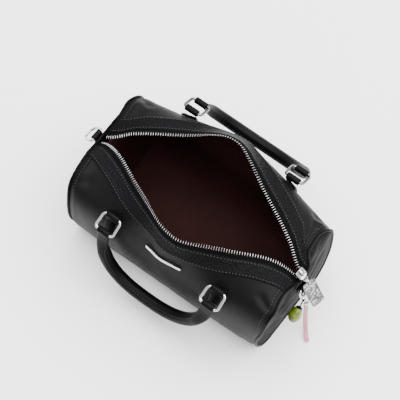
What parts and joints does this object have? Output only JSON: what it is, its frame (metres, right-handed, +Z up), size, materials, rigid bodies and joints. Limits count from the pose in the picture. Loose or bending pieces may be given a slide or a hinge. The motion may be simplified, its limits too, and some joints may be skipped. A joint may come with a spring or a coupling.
{
  "type": "barrel satchel",
  "caption": "Small barrel satchel of soft black leather with an open zip mouth, rolled handles on metal rings, D-rings at its ends and a charm on a ribbon, for carrying by hand.",
  "frame": {"origin": "on the floor, under the middle of the flat bottom", "axes": "+X along the bag to its right end, +Y to its back and +Z up"},
  "size_m": [0.3138, 0.2283, 0.1468],
  "materials": {
    "leather": "fine-grained, soft sheen",
    "lining": "matt dark brown cloth",
    "tape": "matt black woven tape",
    "metal": "bright silver plate",
    "bead": "glossy green",
    "ribbon": "pale pink satin"
  },
  "bodies": {
    "bag": {"body_wall": "leather", "lining_body": "lining", "top_strip_front": "leather", "zip_tape_front": "tape", "zip_teeth_front": "metal", "top_strip_back": "leather", "zip_tape_back": "tape", "zip_teeth_back": "metal", "end_panel_left": "leather", "lining_end_left": "lining", "piping_left": "leather", "end_panel_right": "leather", "lining_end_right": "lining", "piping_right": "leather", "tab_front_left": "leather", "tab_front_right": "leather", "tab_back_left": "leather", "tab_back_right": "leather", "front_bar": "metal", "d_tab_left": "leather", "d_tab_right": "leather", "d_ring_right": "metal", "zip_slider": "metal", "pull_ring": "metal", "pull_plate": "metal", "charm_link": "metal", "pink_ribbon": "ribbon", "green_bead": "bead"},
    "front_rings": {"ring_front_left": "metal", "ring_front_right": "metal"},
    "front_handle": {"handle_front": "leather"},
    "back_rings": {"ring_back_left": "metal", "ring_back_right": "metal"},
    "back_handle": {"handle_back": "leather"},
    "left_strap_ring": {"d_ring_left": "metal"}
  },
  "joints": [
    {"name": "front_rings_swing", "type": "hinge", "parent": "bag", "child": "front_rings", "pos_m": [0, -0.0658, 0.1115], "axis": [-1, 0, 0], "range_deg": [0, 115]},
    {"name": "front_handle_swing", "type": "hinge", "parent": "front_rings", "child": "front_handle", "pos_m": [0, -0.08211, 0.10389], "axis": [-1, 0, 0], "range_deg": [0, 55]},
    {"name": "back_rings_swing", "type": "hinge", "parent": "bag", "child": "back_rings", "pos_m": [0, 0.079, 0.1197], "axis": [1, 0, 0], "range_deg": [0, 118]},
    {"name": "back_handle_swing", "type": "hinge", "parent": "back_rings", "child": "back_handle", "pos_m": [0, 0.09489, 0.11125], "axis": [1, 0, 0], "range_deg": [0, 40]},
    {"name": "left_strap_ring_swing", "type": "hinge", "parent": "bag", "child": "left_strap_ring", "pos_m": [-0.13723, 0, 0.10651], "axis": [0, 1, 0], "range_deg": [0, 100]}
  ]
}
